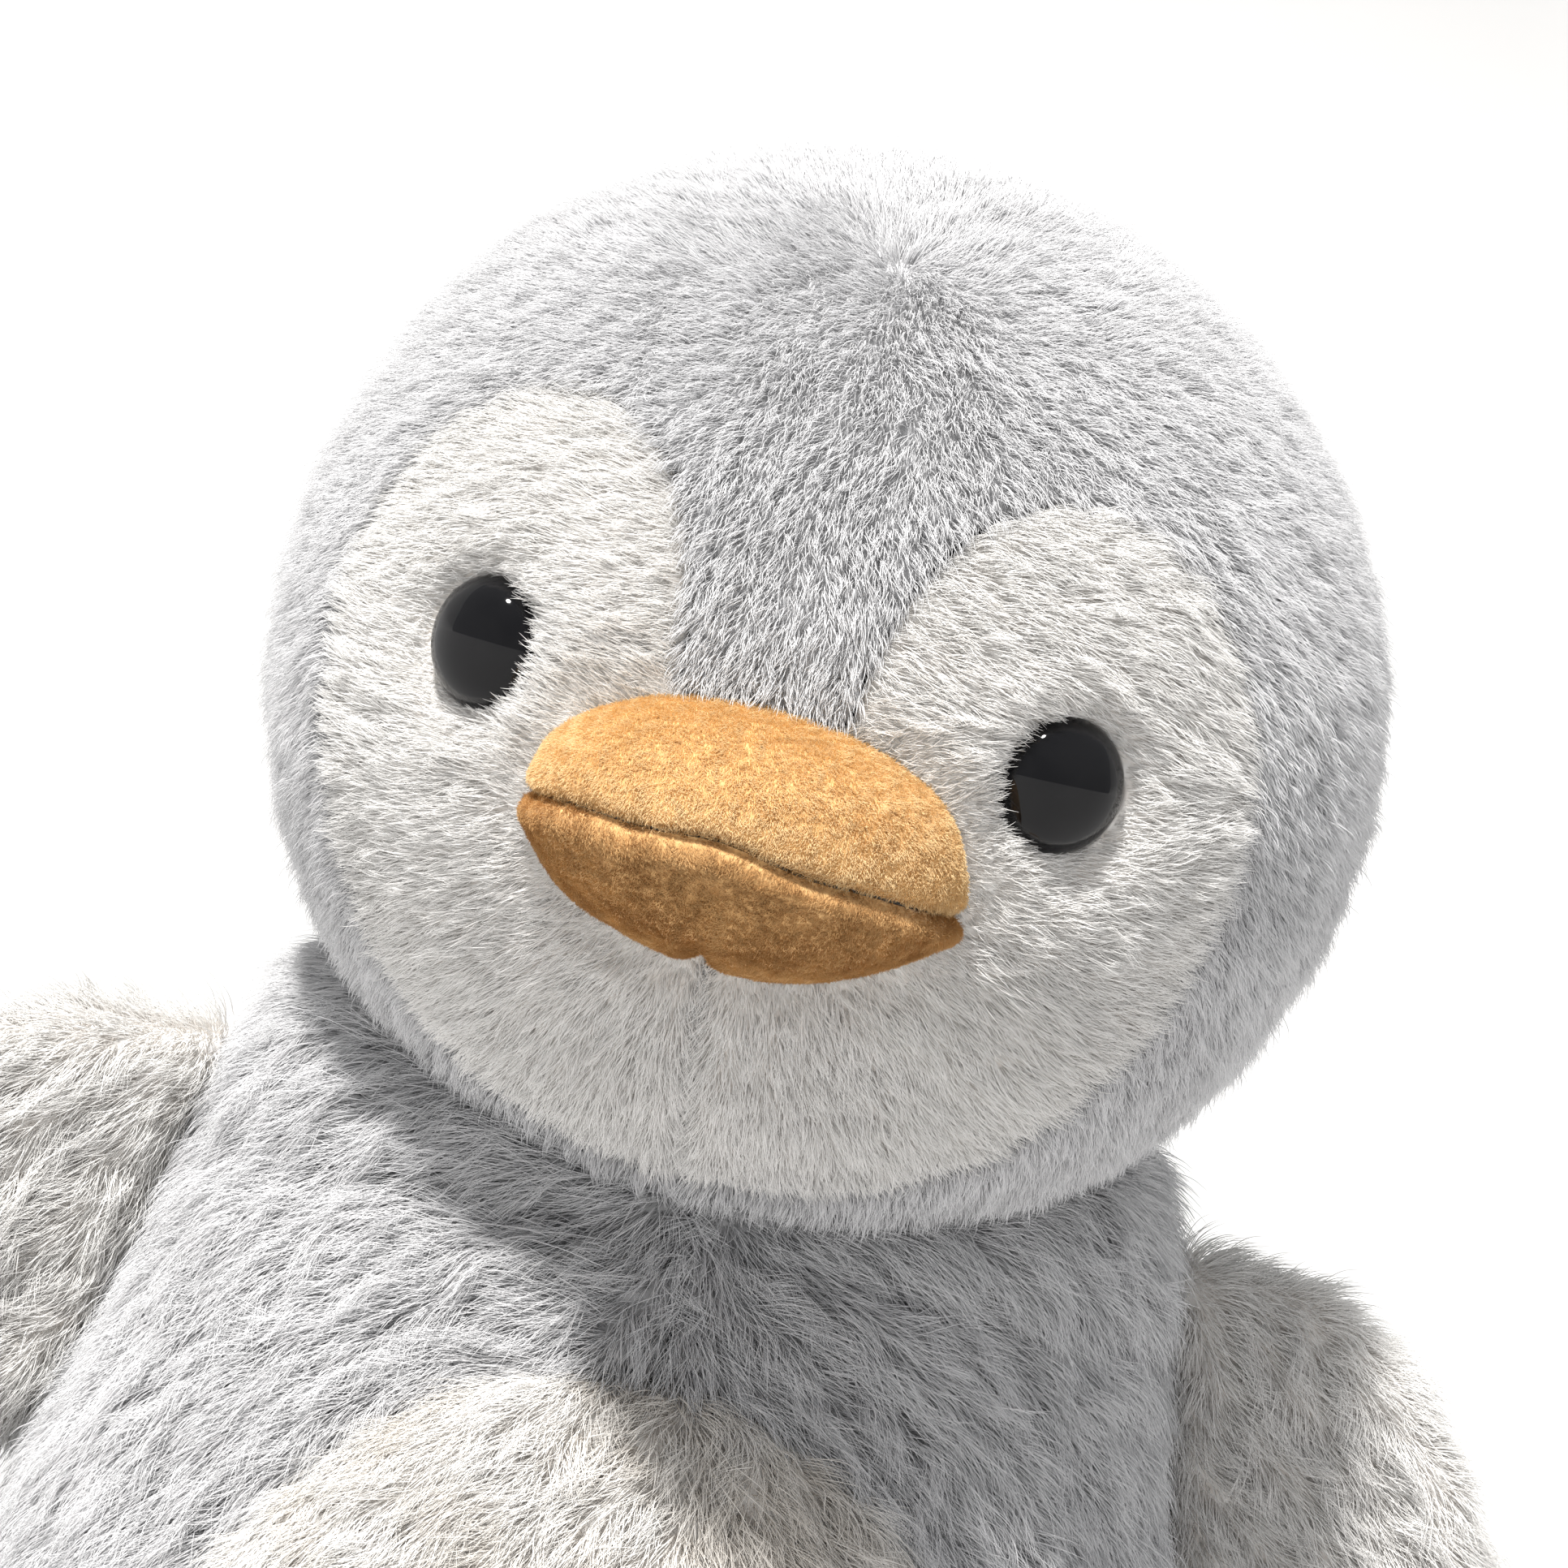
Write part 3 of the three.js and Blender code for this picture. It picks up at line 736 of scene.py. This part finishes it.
def build_beak():
    """Both velboa panels of the beak with their nap; gives back what the feet are made of."""
    pile = mottled_material("velboa_pile", GOLD_DARK, GOLD_MID, 900, bump=0.0003)
    upper = strand_material("velboa_upper", GOLD_MID, UPPER_BODY, UPPER_TIP, UPPER_PATCH, 90)
    # The lower panel's strands are darker as painted shade under the beak.
    lower = strand_material("velboa_lower", GOLD_DARK, LOWER_SHADED_BODY, LOWER_SHADED_TIP, LOWER_SHADED_PATCH, 170)
    for node, strand in (("beak_upper", upper), ("beak_lower", lower)):
        mesh = remeshed(node, BEAK_VOXEL * COARSER, 3)
        co = beak_corners(corners_of(mesh), node == "beak_upper")
        skin = finish_piece("velboa_" + node, mesh, co, pile, node, "head")
        nap = Fur(
            pile, strand, height=0.0004, lay=0.0006, density=40.0, relief=0, tuft=0.0014,
            wildness=0.5, radius=0.000040, lean=0.8,
        )
        grow_strands(skin, node, "head", nap, "beak_stuffing", beak_flow)
    return pile, lower


# ---- Eyes ------------------------------------------------------------------------------------
EYE_SEAT = 64 * MM
EYE_DOME = 6 * MM
SHANK_RADIUS = 2.5 * MM
SHANK_LENGTH = 12 * MM
SHANK_RIBS = 5
EYE_SEGMENTS = 96
DOME_STEPS = 30


def eye_profile():
    """Radius and distance from the head's centre, from the shank's foot to the top of the dome."""
    rim = 0.8 * MM
    foot = EYE_SEAT - SHANK_LENGTH
    profile = [(0.0, foot), (SHANK_RADIUS * 0.8, foot)]
    for rib in range(SHANK_RIBS):
        height = foot + (1.0 + 2.0 * rib) * MM
        profile.append((SHANK_RADIUS, height))
        profile.append((SHANK_RADIUS, height + 1.2 * MM))
        profile.append((SHANK_RADIUS * 0.86, height + 1.6 * MM))
    profile += [(SHANK_RADIUS, EYE_SEAT - 0.1 * MM), (EYE_RADIUS - rim, EYE_SEAT)]
    for i in range(DOME_STEPS + 1):
        angle = math.pi / 2 * i / DOME_STEPS
        height = EYE_SEAT + rim + (EYE_DOME - rim) * math.sin(angle)
        profile.append((EYE_RADIUS * math.cos(angle), height))
    profile[-1] = (0.0, profile[-1][1])
    return profile


def lathe(profile, axis, segments):
    """A closed mesh turned round an axis through the head's centre; a radius of 0 closes it."""
    across = np.cross(axis, [0, 0, 1.0])
    across /= np.linalg.norm(across)
    up = np.cross(across, axis)
    points, faces, rings = [], [], []
    for radius, height in profile:
        start = len(points)
        turns = 1 if radius == 0 else segments
        for i in range(turns):
            angle = 2 * math.pi * i / segments
            points.append(axis * height + (across * math.cos(angle) + up * math.sin(angle)) * radius)
        rings.append((start, turns))
    for (a, na), (b, nb) in zip(rings, rings[1:]):
        for i in range(segments):
            j = (i + 1) % segments
            corners = [a + i % na, a + j % na, b + j % nb, b + i % nb]
            faces.append(list(dict.fromkeys(corners)))
    mesh = bpy.data.meshes.new("lathe")
    mesh.from_pydata([tuple(p) for p in from_head(np.array(points)) + HEAD], [], faces)
    mesh.validate()
    mesh.update()
    return mesh


def build_eyes():
    """Glossy domes on ribbed shanks, and the washers that lock them inside the head."""
    black, tree, shader = new_material("eye_black", 0.05, 0.3)
    noise = noise_node(tree, 220, 2)
    colour = ramp_of(tree, noise, [(0.3, (0.004, 0.004, 0.005)), (0.7, (0.007, 0.007, 0.008))])
    tree.links.new(colour, shader.inputs["Base Color"])
    washer = mottled_material(
        "washer_white", (0.74, 0.74, 0.71), (0.83, 0.83, 0.8), 160,
        bump=0.0002, roughness=0.45, specular=0.4, sheen=0,
    )
    for name, side in (("left", 1), ("right", -1)):
        node = "eye_" + name
        mesh = lathe(eye_profile(), eye_axis(side), EYE_SEGMENTS)
        finish_piece("eye_dome_" + name, mesh, corners_of(mesh), black, node, "head")
        node = "eye_washer_" + name
        mesh = remeshed(node, SMALL_VOXEL * COARSER, 2)
        finish_piece("washer_" + name, mesh, corners_of(mesh), washer, node, "head")


# ---- Feet ------------------------------------------------------------------------------------
TOE_GAPS = (-6 * MM, 6 * MM)
TOE_GROOVE = 0.0013
FOOT_VOXEL = 0.6 * MM


def build_feet(pile, strand):
    """Velboa pads with stitched lines between the toes."""
    # The strand material is the beak's lower one, darkened as painted shade.
    nap = Fur(
        pile, strand, height=0.0006, lay=0.0010, density=24.0, relief=0, tuft=0.0018,
        wildness=0.5, radius=0.000050, lean=0.9,
    )
    for name, side in (("left", 1), ("right", -1)):
        hinge = FOOT_HINGE * [side, 1, 1]
        body = f"foot_{name}"
        stuffing = body + "_stuffing"
        for part in ("top", "sole"):
            node = f"{body}_{part}"
            mesh = remeshed(node, FOOT_VOXEL * COARSER, 6)
            co = corners_of(mesh)
            away = away_from(stuffing, co)
            local = turned(co - hinge, -side * FOOT_TURN)
            outer = np.clip(((normals_of(mesh) * away).sum(1) - 0.1) / 0.5, 0, 1)
            toes = smooth(-local[:, 1], 0.012, 0.022)
            push = 0.0003 * value_noise(local, 0.013, SEED + 8)
            if part == "top":
                for line in TOE_GAPS:
                    push -= TOE_GROOVE * toes * hollow(local[:, 0] - line, 0.0012)
            co += away * (outer * push)[:, None]
            skin = finish_piece("velboa_" + node, mesh, co, pile, node, body)
            grow_strands(skin, node, body, nap, stuffing, foot_flow)


# ---- Pieces inside, and the label --------------------------------------------------------------
def build_insides():
    """Lumpy fibre fill in each part, the pellet bag and the neck's closing thread."""
    fibre = mottled_material(
        "fibre_fill", (0.74, 0.74, 0.73), (0.90, 0.90, 0.89), 260,
        bump=0.0012, roughness=0.95, specular=0.1, sheen=0.4,
    )
    cloth = weave_material("bag_cloth", (0.52, 0.47, 0.38), (0.78, 0.72, 0.62), 380)
    thread = mottled_material(
        "thread_grey", (0.36, 0.37, 0.4), (0.6, 0.61, 0.64), 2400,
        bump=0.0002, roughness=0.7, specular=0.3, sheen=0.2,
    )
    fills = {
        "head_stuffing": "head",
        "beak_stuffing": "head",
        "neck_stuffing": "neck",
        "torso_stuffing": "torso",
        "tail_stuffing": "torso",
    }
    for name in ("left", "right"):
        fills[f"wing_{name}_stuffing"] = f"wing_{name}"
        fills[f"foot_{name}_stuffing"] = f"foot_{name}"
    for node, body in fills.items():
        large = node in ("head_stuffing", "torso_stuffing")
        mesh = remeshed(node, (2.2 if large else 1.0) * MM * COARSER, 2)
        co = corners_of(mesh)
        lumps = value_noise(co, 0.009, SEED + 9) * 0.6 + value_noise(co, 0.004, SEED + 10) * 0.4
        co -= normals_of(mesh) * (0.0005 * (1 + lumps))[:, None]
        finish_piece("fill_" + node, mesh, co, fibre, node, body)
    mesh = remeshed("pellet_bag", 1.2 * MM * COARSER, 3)
    co = corners_of(mesh)
    pellets = value_noise(co, 0.0035, SEED + 14)
    co -= normals_of(mesh) * (0.0004 * (1 + pellets))[:, None]
    finish_piece("pellet_pouch", mesh, co, cloth, "pellet_bag", "torso")
    node = "neck_stitch_thread"
    mesh = remeshed(node, SMALL_VOXEL * COARSER, 2)
    finish_piece("neck_thread", mesh, corners_of(mesh), thread, node, "neck")


LABEL_PLY = 0.2 * MM
LABEL_STEPS = 14
LABEL_ROWS = 8


def build_label():
    """A blank satin ribbon, folded at its outer end, with both ends caught in the side seam."""
    low, high = (np.array(c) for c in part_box("care_label"))
    length = high[0] - low[0]
    path = []
    for ply in (1, -1):
        for i in range(LABEL_STEPS + 1):
            share = i / LABEL_STEPS if ply > 0 else 1 - i / LABEL_STEPS
            gap = 0.0005 * math.sin(math.pi * min(share * 1.15, 1)) + 0.00012
            sag = -0.0012 * share**2
            path.append((high[0] - length * share, ply * gap + 0.0006 * math.sin(2.2 * share), sag))
    y_middle = (low[1] + high[1]) / 2
    points, faces = [], []
    for x, y, sag in path:
        for j in range(LABEL_ROWS + 1):
            z = low[2] + (high[2] - low[2]) * j / LABEL_ROWS
            points.append((x, y_middle + y, z + sag * 0.4))
    for i in range(len(path) - 1):
        for j in range(LABEL_ROWS):
            k = i * (LABEL_ROWS + 1) + j
            faces.append((k, k + 1, k + LABEL_ROWS + 2, k + LABEL_ROWS + 1))
    mesh = bpy.data.meshes.new("label_ribbon")
    mesh.from_pydata(points, [], faces)
    obj = place_object("label_ribbon", mesh)
    ply = obj.modifiers.new("ply", "SOLIDIFY")
    ply.thickness = LABEL_PLY
    mesh.polygons.foreach_set("use_smooth", np.ones(len(faces), bool))
    satin = weave_material("satin", (0.80, 0.80, 0.78), (0.90, 0.90, 0.88), 900, 0.4)
    mesh.materials.append(satin)
    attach(obj, "torso")
    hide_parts("care_label")


# ---- Stage and light -------------------------------------------------------------------------
SWEEP_HALF = 25.0  # half its width, and how far the floor reaches in front
SWEEP_BEHIND = 2.0  # where the curve starts
SWEEP_BEND = 1.2
SWEEP_TOP = 7.0
SWEEP_STEPS = 16


def build_stage():
    """A white sweep: floor, a large curve, and a wall behind."""
    sweep_white = mottled_material(
        "sweep", (0.52, 0.52, 0.52), (0.54, 0.54, 0.54), 3,
        bump=0, roughness=0.9, specular=0.1, sheen=0,
    )
    profile = [(-SWEEP_HALF, 0.0), (SWEEP_BEHIND, 0.0)]
    for i in range(1, SWEEP_STEPS + 1):
        angle = math.pi / 2 * i / SWEEP_STEPS
        y = SWEEP_BEHIND + SWEEP_BEND * math.sin(angle)
        profile.append((y, SWEEP_BEND * (1 - math.cos(angle))))
    profile.append((SWEEP_BEHIND + SWEEP_BEND, SWEEP_TOP))
    points = [(x, y, z) for y, z in profile for x in (-SWEEP_HALF, SWEEP_HALF)]
    faces = [(2 * i, 2 * i + 1, 2 * i + 3, 2 * i + 2) for i in range(len(profile) - 1)]
    mesh = bpy.data.meshes.new("sweep")
    mesh.from_pydata(points, [], faces)
    mesh.polygons.foreach_set("use_smooth", np.ones(len(faces), bool))
    mesh.materials.append(sweep_white)
    sweep = place_object("sweep", mesh)
    sweep.location.z = -0.0005


WORLD_STRENGTH = 0.43
KEY_STRENGTH = 5.5
KEY_FROM = Vector((-0.29, -0.36, 0.89))  # from the toy's upper right, in front of it
KEY_COLOUR = (1.0, 0.98, 0.955)
KEY_ANGLE = math.radians(6)
WORLD_COLOUR = (0.97, 0.98, 1.0, 1)
WASH_POWER = 3.6


def build_light():
    """A large sun from the front, an even sky, and a lamp on the wall behind."""
    world = bpy.data.worlds.new("studio")
    world.use_nodes = True
    background = world.node_tree.nodes["Background"]
    background.inputs["Color"].default_value = WORLD_COLOUR
    background.inputs["Strength"].default_value = WORLD_STRENGTH
    bpy.context.scene.world = world
    sun = bpy.data.lights.new("key", "SUN")
    sun.energy = KEY_STRENGTH
    sun.angle = KEY_ANGLE
    sun.color = KEY_COLOUR
    key = place_object("key", sun)
    key.rotation_euler = KEY_FROM.normalized().to_track_quat("Z", "Y").to_euler()
    wash = bpy.data.lights.new("backdrop_wash", "AREA")
    wash.shape = "RECTANGLE"
    wash.size = 5.0
    wash.size_y = 1.5
    wash.energy = WASH_POWER
    lamp = place_object("backdrop_wash", wash)
    lamp.location = (0, 1.2, 3.2)
    lamp.rotation_euler = Vector((0, -1.6, 1.6)).to_track_quat("Z", "Y").to_euler()
    scene = bpy.context.scene
    scene.view_settings.view_transform = "Standard"
    scene.cycles.max_bounces = 4
    scene.cycles.diffuse_bounces = 3
    scene.cycles.glossy_bounces = 1
    scene.cycles_curves.subdivisions = 1


add_camera()
build_fur()
# The second value is the beak's lower strand material, darkened as painted shade; the feet use it.
velboa_pile, velboa_shaded_strand = build_beak()
build_eyes()
build_feet(velboa_pile, velboa_shaded_strand)
build_insides()
build_label()
build_stage()
build_light()
